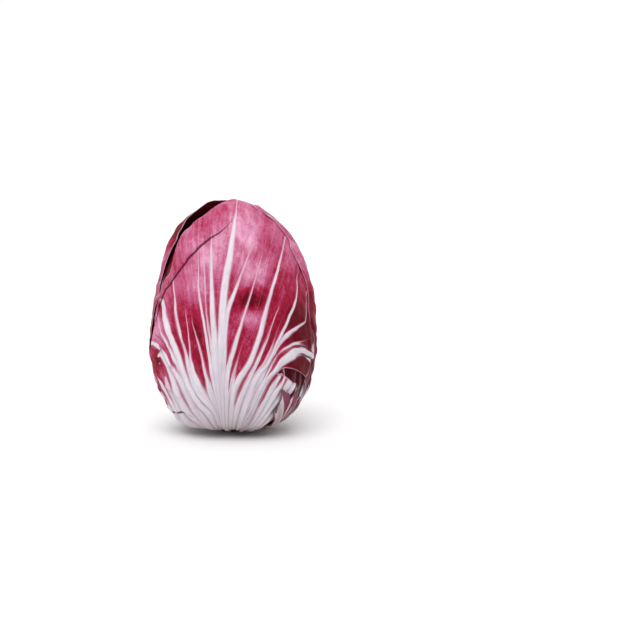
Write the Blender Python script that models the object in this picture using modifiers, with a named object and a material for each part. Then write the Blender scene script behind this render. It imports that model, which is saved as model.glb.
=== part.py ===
"""A head of radicchio on its cut stem: a dense heart, with seven wrapper leaves and a torn one round it.

Every piece is described from the middle of the head outwards. A place on a leaf is a direction from that
middle, and a distance: the leaf lies on whatever is already under it in that direction. The leaves are
built from the inside out, so each one is draped over the heart and over the leaves below.
"""

import math

import bmesh
import bpy
import numpy as np
from mathutils import Vector
from mathutils.bvhtree import BVHTree

MM = 0.001

# The head. Its widest place lies below half height, as on an egg that stands on its fat end.
HEAD_HEIGHT = 140 * MM
WIDEST_HEIGHT = 58 * MM
MIDDLE = Vector((0, 0, WIDEST_HEIGHT))

# The heart: the dense inner leaves, inside the wrapper leaves.
HEART_RADIUS = 44.5 * MM
HEART_TOP = 124.5 * MM
HEART_FOOT = 6.9 * MM  # the egg is cut off flat here
EGG_FOOT = 2.4 * MM  # where it would have ended
CROWN_POWER = 1.82  # 2 is an ellipse, and more is squarer
FOOT_POWER = 2.7
FOOT_CORNER = 14  # how sharply the egg turns into its flat foot
HEART_EDGES = 5  # folded leaf edges that wind up the heart
HEART_EDGE_HEIGHT = 1.4 * MM
HEART_EDGE_RISE = (0, 0.82)  # share of the way to the next edge over which the surface rises
HEART_EDGE_DROP = (0.86, 1)  # and over which it drops again
HEART_TWIST = math.radians(70)
EDGES_FADE_FLAT = (0.05, 0.45)  # the edges fade out towards the top and the foot
EDGES_FADE_DOWN = (-0.75, -0.2)
HEART_MERIDIANS = 40
HEART_RINGS = 20

# The stem. Its side tapers towards the middle of the head, as the rims of the leaf bases do.
STEM_HEIGHT = HEART_FOOT - 0.4 * MM
STEM_CONE = math.radians(12.6)
STEM_EDGE = 0.5 * MM
STEM_EDGE_ANGLE = math.radians(40)
STEM_SIDES = 28
BASE_CONE = STEM_CONE + math.radians(0.4)

# The leaves.
BLADE = 0.8 * MM  # thickness at the edge and between the ribs
FOOT_BLADE = 1.7 * MM  # the same, near the stem
FOOT_BLADE_RUN = 0.45  # share of a leaf's length over which it thins
CLEARANCE = 0.5 * MM  # from one leaf to what it lies on
FLOOR_CLEARANCE = 0.9 * MM  # least height of a leaf's inner face above the surface that the head stands on
NECK_SPREAD = 0.22  # share of a leaf's base angle that its ribs have spread to at the neck
SHOULDER_ALONG = math.radians(104)  # where the midrib's curve leans towards, measured up from below
SHOULDER_SPREAD = 0.95  # how far round the shoulder is, as a share of where the rib ends
SIDE_NECK = 0.6  # how far up a side edge's neck is, as a share of where that edge ends
OUTLINE_POWER = 0.8  # 1 rounds the blade's end like a circle, and less makes it fuller
EDGE_WAVE = 0.02  # of the blade's length
EDGE_WAVES = 3.1  # for each of a leaf's waves, across half its fan
FLARE_END = (0.72, 1)  # where along a leaf its end begins to stand off, and where it does so fully
FLARE_SIDE = (0.8, 1)  # the same across the fan
FLARE_SIDE_RUN = (0.3, 0.6)
FLARE_WAVES = (2.4, 5)  # across the fan for each of a leaf's waves, and along the leaf
RIB_FADE = (0.05, 0.95)  # where along a leaf its ribs start to thin, and where they are gone
RIB_FADE_POWER = 0.8
SHARP_EDGE = math.radians(50)
COLUMN_GAP = math.radians(11)  # between the ends of two grid columns, where ribs are far apart
SMOOTHINGS = 6
LOOK_ROUND = (-0.7, 0.0, 0.7)  # how far round a point, in grid steps, the drape looks for what lies below
LIFTS = 12
FACE_SAMPLES = tuple((i / 5, j / 5, 1 - (i + j) / 5) for i in range(6) for j in range(6 - i))

# A pattern of ribs: the place of each in the fan, where -1 and 1 are the blade's two sides, and its height at
# the foot in millimetres.
PLAIN_RIBS = ((-0.84, 1.1), (-0.62, 1.4), (-0.4, 1.7), (-0.19, 1.3), (0.0, 2.6),
              (0.19, 1.3), (0.4, 1.7), (0.62, 1.4), (0.84, 1.1))
FRONT_RIBS = ((-0.88, 1.0), (-0.72, 1.2), (-0.5, 2.2), (-0.36, 1.1), (-0.2, 1.2), (-0.11, 1.4), (0.0, 2.9),
              (0.12, 1.0), (0.25, 2.2), (0.4, 1.5), (0.57, 1.2), (0.82, 2.3))
TORN_RIBS = ((-0.5, 1.0), (0.1, 1.3), (0.6, 1.0))

# The leaves from the inside out. All angles are in degrees: facing is the midrib's turn round the head from
# the front, towards +X; base is half the turn round the stem that its base takes up; neck is how far up from
# straight below its ribs run side by side; tip is how far its end reaches from there, over the top; left and
# right are how far the blade reaches round the head on each side, and low_left and low_right how far up its
# sides end. Flare is how far the blade's edge stands off, in millimetres. Waves sets how many waves its edge
# has, and rows how many rows of faces it has along its ribs. A notch is (place in the fan, width, depth).
LEAVES = (
    dict(name="leaf_crown", facing=-6, base=43, neck=40, tip=204, left=62, low_left=46, right=62,
         low_right=46, flare=0.4, waves=5, rows=14, ribs=PLAIN_RIBS),
    dict(name="leaf_inner_back", facing=160, base=43, neck=40, tip=196, left=70, low_left=42, right=70,
         low_right=42, flare=0.5, waves=6, rows=14, ribs=PLAIN_RIBS),
    dict(name="leaf_inner_left", facing=-82, base=43, neck=40, tip=176, left=66, low_left=42, right=64,
         low_right=42, flare=0.9, waves=7, rows=14, ribs=PLAIN_RIBS),
    dict(name="leaf_inner_right", facing=70, base=43, neck=40, tip=178, left=60, low_left=42, right=68,
         low_right=42, flare=0.9, waves=6, rows=14, ribs=PLAIN_RIBS),
    dict(name="leaf_front", facing=1, base=40, neck=52, tip=181, left=74, low_left=30, right=82, low_right=46,
         flare=0.9, waves=8, rows=17, ribs=FRONT_RIBS, notches=((-0.86, 0.05, 0.2), (1.0, 0.12, 0.45))),
    dict(name="leaf_outer_right", facing=124, base=43, neck=42, tip=172, left=46, low_left=50, right=70,
         low_right=40, flare=1.2, waves=7, rows=15, ribs=PLAIN_RIBS),
    dict(name="leaf_outer_left", facing=-130, base=43, neck=42, tip=173, left=78, low_left=40, right=52,
         low_right=50, flare=1.4, waves=6, rows=15, ribs=PLAIN_RIBS),
    dict(name="torn_leaf_base", facing=62, base=17, neck=40, tip=176, left=40, low_left=50, right=34,
         low_right=50, flare=0.8, waves=5, rows=7, ribs=TORN_RIBS, torn=0.34),
)

CREAM = (0.86, 0.80, 0.66)
CRIMSON = (0.36, 0.03, 0.09)
ROSE = (0.55, 0.16, 0.28)


def clear_scene():
    for obj in list(bpy.data.objects):
        bpy.data.objects.remove(obj)


def material(name, colour, roughness):
    made = bpy.data.materials.new(name)
    made.use_nodes = True
    shader = made.node_tree.nodes["Principled BSDF"]
    shader.inputs["Base Color"].default_value = (*colour, 1)
    shader.inputs["Roughness"].default_value = roughness
    shader.inputs["Metallic"].default_value = 0
    return made


def new_object(name, bm, collection, finish):
    """Turns a bmesh into a smooth-shaded object of its own."""
    mesh = bpy.data.meshes.new(name)
    bm.to_mesh(mesh)
    mesh.shade_smooth()
    mesh.set_sharp_from_angle(angle=SHARP_EDGE)
    mesh.materials.append(finish)
    obj = bpy.data.objects.new(name, mesh)
    collection.objects.link(obj)
    return obj


def smoothstep(low, high, value):
    share = min(1.0, max(0.0, (value - low) / (high - low)))
    return share * share * (3 - 2 * share)


def mix(a, b, share):
    return a + (b - a) * share


def rounded(across, up, power):
    """From the middle to a curve that an ellipse's formula gives with another power than 2. Across and up are
    a direction's two parts, each as a share of the curve's own reach that way."""
    return (across ** power + up ** power) ** (-1 / power)


def egg_distance(direction):
    """From the middle of the head to the smooth egg on which all the leaves lie: half an ellipsoid above its
    widest place, and a squarer half egg below, with a flat foot."""
    across = math.hypot(direction.x, direction.y) / HEART_RADIUS
    if direction.z >= 0:
        return rounded(across, direction.z / (HEART_TOP - WIDEST_HEIGHT), CROWN_POWER)
    side = rounded(across, -direction.z / (WIDEST_HEIGHT - EGG_FOOT), FOOT_POWER)
    return rounded(1 / side, -direction.z / (WIDEST_HEIGHT - HEART_FOOT), FOOT_CORNER)


def heart_distance(direction):
    """The same to the heart's own surface, which has folded leaf edges that wind up the egg."""
    flat = math.hypot(direction.x, direction.y)
    turn = math.atan2(direction.y, direction.x) + HEART_TWIST * direction.z
    ramp = (turn / math.tau * HEART_EDGES) % 1.0
    step = smoothstep(*HEART_EDGE_RISE, ramp) * (1 - smoothstep(*HEART_EDGE_DROP, ramp))
    upright = smoothstep(*EDGES_FADE_FLAT, flat) * smoothstep(*EDGES_FADE_DOWN, direction.z)
    return egg_distance(direction) - HEART_EDGE_HEIGHT * (1 - step) * upright


def make_heart(collection, finish):
    bm = bmesh.new()
    bmesh.ops.create_uvsphere(bm, u_segments=HEART_MERIDIANS, v_segments=HEART_RINGS, radius=1)
    for vert in bm.verts:
        direction = vert.co.normalized()
        vert.co = MIDDLE + direction * heart_distance(direction)
    bmesh.ops.triangulate(bm, faces=bm.faces[:])
    new_object("heart_leaves", bm, collection, finish)
    placed = solid_below(bm)
    bm.free()
    return placed


def solid_below(bm):
    """What the next leaves are draped over: the piece's surface, and its corners."""
    return BVHTree.FromBMesh(bm), [vert.co.copy() for vert in bm.verts]


def make_stem(collection, finish):
    """The cut stem: a short cone with its wide, flat end down, on which the head stands."""
    bm = bmesh.new()
    bmesh.ops.create_cone(bm, cap_ends=True, segments=STEM_SIDES, depth=STEM_HEIGHT,
                          radius1=WIDEST_HEIGHT * math.tan(STEM_CONE),
                          radius2=(WIDEST_HEIGHT - STEM_HEIGHT) * math.tan(STEM_CONE))
    bmesh.ops.translate(bm, verts=bm.verts, vec=(0, 0, STEM_HEIGHT / 2))
    obj = new_object("stem", bm, collection, finish)
    bm.free()
    bevel = obj.modifiers.new("rounded_edges", "BEVEL")
    bevel.width = STEM_EDGE
    bevel.segments = 2
    bevel.limit_method = "ANGLE"
    bevel.angle_limit = STEM_EDGE_ANGLE


def lowest(leaf, fan):
    """Where this side of the blade ends, measured up from straight below."""
    return math.radians(leaf["low_left"] if fan < 0 else leaf["low_right"])


def blade_outline(leaf, fan):
    """Where the rib at this place in the fan would leave the blade: (angle along, angle across)."""
    span = math.radians(leaf["left"] if fan < 0 else leaf["right"])
    round_fan = math.radians(90) * fan
    fullness = max(0.0, math.cos(round_fan)) ** OUTLINE_POWER
    along = mix(lowest(leaf, fan), math.radians(leaf["tip"]), fullness)
    return along, span * math.sin(round_fan)


def reach(leaf, fan):
    """Share of its full length that the blade has at this place in the fan: its edge is waved and notched,
    and a torn leaf has only the part next to the stem."""
    share = leaf.get("torn", 1) + EDGE_WAVE * math.sin(leaf["waves"] * EDGE_WAVES * fan + leaf["facing"])
    for place, width, depth in leaf.get("notches", ()):
        share -= depth * math.exp(-(((fan - place) / width) ** 2))
    return share


def fan_angles(leaf, fan, run):
    """The angles along and across of a place on a leaf. Fan picks the rib line, and run goes from 0 at the
    stem to 1 at the edge. Each rib line is a cubic curve: out from the stem, spreading, then upwards."""
    run *= reach(leaf, fan)
    turn = math.radians(leaf["base"]) * fan
    base_along = math.atan(math.tan(BASE_CONE) * math.cos(turn))
    base = (base_along, math.asin(math.sin(BASE_CONE) * math.sin(turn)))
    low = lowest(leaf, fan)
    neck = (mix(math.radians(leaf["neck"]), SIDE_NECK * low, fan * fan), NECK_SPREAD * turn)
    end = blade_outline(leaf, fan)
    shoulder = (mix(SHOULDER_ALONG, low, abs(fan)), SHOULDER_SPREAD * end[1])
    weights = ((1 - run) ** 3, 3 * (1 - run) ** 2 * run, 3 * (1 - run) * run ** 2, run ** 3)
    along = sum(w * p[0] for w, p in zip(weights, (base, neck, shoulder, end)))
    across = sum(w * p[1] for w, p in zip(weights, (base, neck, shoulder, end)))
    return along, across


def leaf_direction(leaf, fan, run):
    """The direction of a place on a leaf, seen from the middle of the head."""
    along, across = fan_angles(leaf, fan, run)
    facing = math.radians(leaf["facing"])
    ahead = Vector((math.sin(facing), -math.cos(facing), 0))
    side = Vector((math.cos(facing), math.sin(facing), 0))
    down = Vector((0, 0, -1))
    rib = math.sin(along) * ahead + math.cos(along) * down
    return math.cos(across) * rib + math.sin(across) * side


def fan_columns(leaf):
    """The fan place of each grid column: every rib and both edges, with enough columns in between them."""
    places = [-1.0, *(place for place, _ in leaf["ribs"]), 1.0]
    columns = [places[0]]
    for low, high in zip(places, places[1:]):
        gap = math.dist(blade_outline(leaf, low), blade_outline(leaf, high))
        parts = max(2, round(gap / COLUMN_GAP))
        columns += [mix(low, high, part / parts) for part in range(1, parts + 1)]
    return columns


def covered(direction, below):
    """How far out from the middle the pieces that are already there reach in this direction."""
    farthest = 0.0
    for tree, _ in below:
        hit = tree.ray_cast(MIDDLE + direction * HEAD_HEIGHT, -direction, HEAD_HEIGHT)[0]
        if hit is not None:
            farthest = max(farthest, (hit - MIDDLE).length)
    return farthest


def drape(leaf, columns, below):
    """Heights of the leaf's inner face above the egg, by row and column: as low as what lies below allows,
    then smoothed without sinking into it."""
    rows = leaf["rows"]
    lowest = np.zeros((rows + 1, len(columns)))
    for row in range(rows + 1):
        for column in range(len(columns)):
            found = []
            for down_row in LOOK_ROUND:
                for aside in LOOK_ROUND:
                    at = min(max(column + aside, 0), len(columns) - 1)
                    fan = float(np.interp(at, range(len(columns)), columns))
                    run = min(max((row + down_row) / rows, 0), 1)
                    direction = leaf_direction(leaf, fan, run)
                    found.append(covered(direction, below) - egg_distance(direction))
            lowest[row, column] = max(found) + CLEARANCE
    height = lowest.copy()
    for _ in range(SMOOTHINGS):
        padded = np.pad(height, 1, mode="edge")
        around = (padded[:-2, 1:-1] + padded[2:, 1:-1] + padded[1:-1, :-2] + padded[1:-1, 2:]) / 4
        height = np.maximum((height + around) / 2, lowest)
    return height


def corner_weights(point, face):
    """Shares of a triangle's three corners that add up to a point on it."""
    corners = [vert.co for vert in face.verts]
    areas = [(corners[i - 2] - point).cross(corners[i - 1] - point).length for i in range(3)]
    return [area / sum(areas) for area in areas]


def shortfalls(bm, below):
    """Where the sheet is too near to what lies below: (face, corner weights, missing distance)."""
    for face in bm.faces:
        for weights in FACE_SAMPLES:
            offset = sum((w * vert.co for w, vert in zip(weights, face.verts)), Vector()) - MIDDLE
            yield face, weights, covered(offset.normalized(), below) + CLEARANCE - offset.length
    sheet = BVHTree.FromBMesh(bm)
    bm.faces.ensure_lookup_table()
    for _, points in below:
        for point in points:
            offset = point - MIDDLE
            hit, _, index, distance = sheet.ray_cast(MIDDLE, offset.normalized())
            if hit is not None:
                face = bm.faces[index]
                yield face, corner_weights(hit, face), offset.length + CLEARANCE - distance


def lift_clear(bm, below):
    """Moves the corners of each face outwards, the nearest corner most, until all of it clears what lies
    below."""
    for _ in range(LIFTS):
        lift = {}
        for face, weights, short in shortfalls(bm, below):
            if short <= 0:
                continue
            shared = sum(w * w for w in weights)
            for w, vert in zip(weights, face.verts):
                lift[vert] = max(short * w / shared, lift.get(vert, 0.0))
        if not lift:
            return
        for vert, distance in lift.items():
            vert.co += (vert.co - MIDDLE).normalized() * distance


def edge_flare(leaf, fan, run):
    """How far the blade stands off near its edge, in slow waves."""
    near_side = smoothstep(*FLARE_SIDE, abs(fan)) * smoothstep(*FLARE_SIDE_RUN, run)
    near_edge = max(smoothstep(*FLARE_END, run), near_side)
    across, along = FLARE_WAVES
    wave = 0.55 + 0.45 * math.sin(leaf["waves"] * across * fan + along * run + leaf["facing"])
    return leaf["flare"] * MM * near_edge * wave


def rib_height(leaf, fan, run):
    """Height of the rib on the outer face, which is full at the stem and dies out towards the edge."""
    for place, height in leaf["ribs"]:
        if abs(place - fan) < 1e-6:
            return height * MM * (1 - smoothstep(*RIB_FADE, run)) ** RIB_FADE_POWER
    return 0.0


def make_leaf(leaf, collection, finish, below):
    columns = fan_columns(leaf)
    rows = leaf["rows"]
    inner = drape(leaf, columns, below)
    bm = bmesh.new()
    bmesh.ops.create_grid(bm, x_segments=len(columns) - 1, y_segments=rows, size=1)
    thickness = bm.verts.layers.float.new("thickness")
    for vert in bm.verts:
        column = round((vert.co.x + 1) / 2 * (len(columns) - 1))
        row = round((vert.co.y + 1) / 2 * rows)
        fan = columns[column]
        run = row / rows
        direction = leaf_direction(leaf, fan, run)
        distance = egg_distance(direction) + inner[row, column] + edge_flare(leaf, fan, run)
        if direction.z < 0:
            distance = min(distance, (WIDEST_HEIGHT - FLOOR_CLEARANCE) / -direction.z)
        vert.co = MIDDLE + direction * distance
        blade = mix(FOOT_BLADE, BLADE, smoothstep(0, FOOT_BLADE_RUN, run))
        vert[thickness] = blade + rib_height(leaf, fan, run)
    bmesh.ops.triangulate(bm, faces=bm.faces[:], quad_method="FIXED")
    lift_clear(bm, below)
    thicken_outwards(bm, thickness)
    new_object(leaf["name"], bm, collection, finish)
    placed = solid_below(bm)
    bm.free()
    return placed


def thicken_outwards(bm, thickness):
    """Extrudes the sheet away from the middle of the head by each vertex's own thickness, but not through
    the surface that the head stands on."""
    made = bmesh.ops.extrude_face_region(bm, geom=bm.faces[:], use_keep_orig=True)
    for vert in made["geom"]:
        if not isinstance(vert, bmesh.types.BMVert):
            continue
        direction = (vert.co - MIDDLE).normalized()
        vert.co += direction * vert[thickness]
        vert.co.z = max(vert.co.z, 0.0)
    bmesh.ops.recalc_face_normals(bm, faces=bm.faces[:])


def main():
    clear_scene()
    head = bpy.data.collections.new("radicchio_head")
    bpy.context.scene.collection.children.link(head)
    heart_finish = material("heart_leaf", ROSE, 0.5)
    stem_finish = material("stem", CREAM, 0.6)
    leaf_finish = material("wrapper_leaf", CRIMSON, 0.4)
    make_stem(head, stem_finish)
    below = [make_heart(head, heart_finish)]
    for leaf in LEAVES:
        below.append(make_leaf(leaf, head, leaf_finish, below))


main()
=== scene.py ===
import math

import bpy
import numpy as np
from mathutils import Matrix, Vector
from mathutils.bvhtree import BVHTree


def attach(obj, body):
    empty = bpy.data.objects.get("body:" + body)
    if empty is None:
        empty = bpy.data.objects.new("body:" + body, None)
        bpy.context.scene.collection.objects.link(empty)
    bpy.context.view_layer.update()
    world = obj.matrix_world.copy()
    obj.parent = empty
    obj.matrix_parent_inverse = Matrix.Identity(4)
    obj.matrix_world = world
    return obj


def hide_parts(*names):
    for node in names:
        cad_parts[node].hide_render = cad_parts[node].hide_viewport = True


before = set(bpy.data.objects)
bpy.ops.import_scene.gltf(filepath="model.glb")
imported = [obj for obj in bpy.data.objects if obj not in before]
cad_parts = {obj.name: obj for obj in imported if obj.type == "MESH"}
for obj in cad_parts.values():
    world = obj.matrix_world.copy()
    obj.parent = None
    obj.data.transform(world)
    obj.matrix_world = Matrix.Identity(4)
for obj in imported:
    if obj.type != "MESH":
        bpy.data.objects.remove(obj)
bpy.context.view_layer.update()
mm = 0.001
print("frame loaded")

# the egg that all the leaves lie on, seen from a point inside the head
head = dict(
    middle=58 * mm,  # height of that point, and of the widest place
    radius=44.5 * mm,
    top=124.5 * mm,
    foot=6.9 * mm,  # the egg is cut off flat here
    eggFoot=2.4 * mm,  # where it would have ended
    far=120 * mm,  # farther from the middle than any leaf
    crownPower=1.82,
    footPower=2.7,
    footCorner=14,
    stemCone=13.0,  # degrees from straight down to the rim of the leaf bases
    neckSpread=0.22,
    shoulder=104,
    sideNeck=0.6,
)
middle = np.array([0, 0, head["middle"]])


# shader and geometry node maths, written as expressions
class Wire:
    def __init__(self, maker, socket):
        self.maker = maker
        self.socket = socket


def wireMaths(operation, turned):  # turned: the other value comes first
    def work(self, other):
        return self.maker.maths(operation, *((other, self) if turned else (self, other)))

    return work


for sign, operation in (("add", "ADD"), ("sub", "SUBTRACT"), ("mul", "MULTIPLY"), ("truediv", "DIVIDE")):
    setattr(Wire, f"__{sign}__", wireMaths(operation, False))
    setattr(Wire, f"__r{sign}__", wireMaths(operation, True))


class NodeMaker:
    def __init__(self, nodeTree):
        self.nodeTree = nodeTree

    def add(self, kind, settings=None, values=None, output=0):
        node = self.nodeTree.nodes.new(kind)
        for key, setting in (settings or {}).items():
            setattr(node, key, setting)
        for key, value in (values or {}).items():
            if isinstance(value, Wire):
                self.nodeTree.links.new(value.socket, node.inputs[key])
            else:
                node.inputs[key].default_value = value
        return Wire(self, node.outputs[output])

    def maths(self, operation, *values):
        return self.add("ShaderNodeMath", dict(operation=operation), dict(enumerate(values)))

    def vectorMaths(self, operation, *values, output=0):
        return self.add("ShaderNodeVectorMath", dict(operation=operation), dict(enumerate(values)), output)

    def ramp(self, value, low, high, start=0.0, end=1.0):  # eased, and held at both ends
        settings = dict(interpolation_type="SMOOTHSTEP")
        return self.add("ShaderNodeMapRange", settings, {0: value, 1: low, 2: high, 3: start, 4: end})

    def blend(self, share, first, second):  # of two colours
        return self.add("ShaderNodeMix", dict(data_type="RGBA"), {0: share, 6: first, 7: second}, 2)

    def attribute(self, name, output="Fac"):
        return self.add("ShaderNodeAttribute", dict(attribute_name=name), output=output)

    def stored(self, name):  # in a geometry node tree
        return self.add("GeometryNodeInputNamedAttribute", dict(data_type="FLOAT"), {"Name": name})

    def noise(self, place, size, detail=2.0, roughness=0.5):
        values = {"Vector": place, "Scale": 1 / size, "Detail": detail, "Roughness": roughness}
        return self.add("ShaderNodeTexNoise", values=values)

    def bump(self, height, strength, depth):
        return self.add("ShaderNodeBump", values={"Height": height, "Strength": strength, "Distance": depth})


# what every piece is made with
def smoothStep(low, high, value):
    share = np.clip((value - low) / (high - low), 0, 1)
    return share * share * (3 - 2 * share)


def mix(first, second, share):
    return first + (second - first) * share


def placeObject(name, data):
    piece = bpy.data.objects.new(name, data)
    bpy.context.scene.collection.objects.link(piece)
    return piece


def plainMesh(name, points, faces, attributes, material):
    mesh = bpy.data.meshes.new(name)
    mesh.from_pydata(points.tolist(), [], faces)
    for key, values in attributes.items():
        kind, field = ("FLOAT_VECTOR", "vector") if values.ndim == 2 else ("FLOAT", "value")
        layer = mesh.attributes.new(key, kind, "POINT")
        layer.data.foreach_set(field, values.astype(np.float32).ravel())
    mesh.materials.append(material)
    mesh.shade_smooth()
    return placeObject(name, mesh)


def ringFaces(rings, meridians, flip=False):
    # the quads between rings of points, and a fan at each end round a pole, whose points come last
    index = np.arange(rings * meridians).reshape(rings, meridians)
    after = np.roll(index, -1, axis=1)
    quads = np.stack([index[:-1], index[1:], after[1:], after[:-1]], -1).reshape(-1, 4).tolist()
    caps = [[rings * meridians, a, b] for a, b in zip(index[0], after[0])]
    caps += [[rings * meridians + 1, b, a] for a, b in zip(index[-1], after[-1])]
    if flip:
        quads, caps = ([face[:1] + face[:0:-1] for face in part] for part in (quads, caps))
    return quads, caps


def startTree(name, shape, inputs):  # shape is the name of the mesh that goes in and comes out
    tree = bpy.data.node_groups.new(name, "GeometryNodeTree")
    tree.interface.new_socket(shape, in_out="INPUT", socket_type="NodeSocketGeometry")
    for inputName, kind in inputs.items():
        tree.interface.new_socket(inputName, in_out="INPUT", socket_type="NodeSocket" + kind)
    tree.interface.new_socket("finish", in_out="INPUT", socket_type="NodeSocketMaterial")
    tree.interface.new_socket(shape, in_out="OUTPUT", socket_type="NodeSocketGeometry")
    make = NodeMaker(tree)
    source = tree.nodes.new("NodeGroupInput")
    return make, {socket.name: Wire(make, socket) for socket in source.outputs if socket.name}


def endTree(make, shape, result, finish):
    real = make.add("GeometryNodeRealizeInstances", values={"Geometry": result})
    done = make.add("GeometryNodeSetMaterial", values={"Geometry": real, "Material": finish})
    sink = make.nodeTree.nodes.new("NodeGroupOutput")
    make.nodeTree.links.new(done.socket, sink.inputs[shape])
    return make.nodeTree


def growNodes(piece, tree, values):  # runs a node tree on a piece and keeps the plain mesh
    modifier = piece.modifiers.new(tree.name, "NODES")
    modifier.node_group = tree
    for item in tree.interface.items_tree:
        if item.item_type == "SOCKET" and item.in_out == "INPUT" and item.name in values:
            modifier[item.identifier] = values[item.name]
    piece.update_tag()
    graph = bpy.context.evaluated_depsgraph_get()
    grown = piece.evaluated_get(graph)
    plain = bpy.data.meshes.new_from_object(grown, preserve_all_data_layers=True, depsgraph=graph)
    plain.name = piece.name
    piece.modifiers.remove(modifier)
    piece.data = plain


def startMaterial(name):
    material = bpy.data.materials.new(name)
    material.use_nodes = True
    material.node_tree.nodes.clear()
    return material, NodeMaker(material.node_tree)


def endMaterial(material, make, colour, roughness, bump, specular):
    shader = make.add("ShaderNodeBsdfPrincipled", values={
        "Base Color": colour, "Roughness": roughness, "Normal": bump, "Specular IOR Level": specular})
    target = material.node_tree.nodes.new("ShaderNodeOutputMaterial")
    material.node_tree.links.new(shader.socket, target.inputs["Surface"])
    return material


# the shape of the head
def eggReach(way):  # distance from the middle to the egg
    flat = np.hypot(way[..., 0], way[..., 1]) / head["radius"]
    rise = np.abs(way[..., 2])
    power = head["crownPower"]
    crown = (flat**power + (rise / (head["top"] - head["middle"])) ** power) ** (-1 / power)
    power = head["footPower"]
    side = (flat**power + (rise / (head["middle"] - head["eggFoot"])) ** power) ** (1 / power)
    sole = rise / (head["middle"] - head["foot"])
    power = head["footCorner"]
    return np.where(way[..., 2] >= 0, crown, (side**power + sole**power) ** (-1 / power))


def fanWays(leaf, fan, run):
    # the way from the middle of the head to each place on a leaf: fan picks the rib line, and run goes
    # from 0 at the stem to 1 at the blade's edge
    turn = np.radians(leaf["base"]) * fan
    cone = math.radians(head["stemCone"])
    low = np.radians(np.where(fan < 0, leaf["lowLeft"], leaf["lowRight"]))
    span = np.radians(np.where(fan < 0, leaf["left"], leaf["right"]))
    corner = np.radians(90) * fan
    endAlong = mix(low, math.radians(leaf["tip"]), np.maximum(np.cos(corner), 0) ** 0.8)
    endAcross = span * np.sin(corner)
    along = (
        np.arctan(math.tan(cone) * np.cos(turn)),
        mix(math.radians(leaf["neck"]), head["sideNeck"] * low, fan * fan),
        mix(math.radians(head["shoulder"]), low, np.abs(fan)),
        endAlong,
    )
    across = (
        np.arcsin(math.sin(cone) * np.sin(turn)),
        head["neckSpread"] * turn,
        0.95 * endAcross,
        endAcross,
    )
    weights = ((1 - run) ** 3, 3 * (1 - run) ** 2 * run, 3 * (1 - run) * run**2, run**3)
    up = sum(w * a for w, a in zip(weights, along))
    aside = sum(w * a for w, a in zip(weights, across))
    facing = math.radians(leaf["facing"])
    ahead = np.array([math.sin(facing), -math.cos(facing), 0])
    side = np.array([math.cos(facing), math.sin(facing), 0])
    down = np.array([0, 0, -1])
    flat = np.sin(up)[..., None] * ahead + np.cos(up)[..., None] * down
    return np.cos(aside)[..., None] * flat + np.sin(aside)[..., None] * side


def pathAt(path, run):  # a smooth line through (run, value) points that doesn't overshoot them
    places, values = np.array(path, float).T
    slopes = np.diff(values) / np.diff(places)
    inner = np.where(slopes[1:] * slopes[:-1] > 0, (slopes[1:] + slopes[:-1]) / 2, 0)
    most = 3 * np.minimum(np.abs(slopes[1:]), np.abs(slopes[:-1]))
    tangents = np.concatenate([slopes[:1], np.clip(inner, -most, most), slopes[-1:]])
    run = np.clip(run, places[0], places[-1])
    at = np.clip(np.searchsorted(places, run, side="right") - 1, 0, len(path) - 2)
    width = places[at + 1] - places[at]
    s = (run - places[at]) / width
    return (
        (2 * s**3 - 3 * s**2 + 1) * values[at]
        + (s**3 - 2 * s**2 + s) * width * tangents[at]
        + (3 * s**2 - 2 * s**3) * values[at + 1]
        + (s**3 - s**2) * width * tangents[at + 1]
    )


def sphereWays(polar, turn):  # directions all round, from angles off straight up and angles round that
    polar, turn = np.meshgrid(polar, turn, indexing="ij")
    return np.stack([np.sin(polar) * np.cos(turn), np.sin(polar) * np.sin(turn), np.cos(polar)], -1)


class Shell:  # how far out from the middle the finished pieces reach, in every direction
    def __init__(self, rows, columns):
        self.ways = sphereWays(np.linspace(0, math.pi, rows), np.linspace(0, 2 * math.pi, columns, False))
        self.reach = np.zeros((rows, columns))

    def cover(self, points, faces):
        tree = BVHTree.FromPolygons(points.tolist(), faces)
        centre = Vector(middle)
        for row, column in np.ndindex(self.reach.shape):
            way = Vector(self.ways[row, column])
            distance = tree.ray_cast(centre + way * head["far"], -way, head["far"])[3]
            if distance is not None:
                self.reach[row, column] = max(self.reach[row, column], head["far"] - distance)

    def under(self, ways):  # the farthest of the four nearest directions
        rows, columns = self.reach.shape
        polar = np.arccos(np.clip(ways[..., 2], -1, 1)) / math.pi * (rows - 1)
        turn = (np.arctan2(ways[..., 1], ways[..., 0]) / (2 * math.pi)) % 1 * columns
        row = np.minimum(polar.astype(int), rows - 2)
        column = turn.astype(int) % columns
        after = (column + 1) % columns
        corners = [self.reach[row + down, side] for down in (0, 1) for side in (column, after)]
        return np.maximum.reduce(corners)


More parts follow.
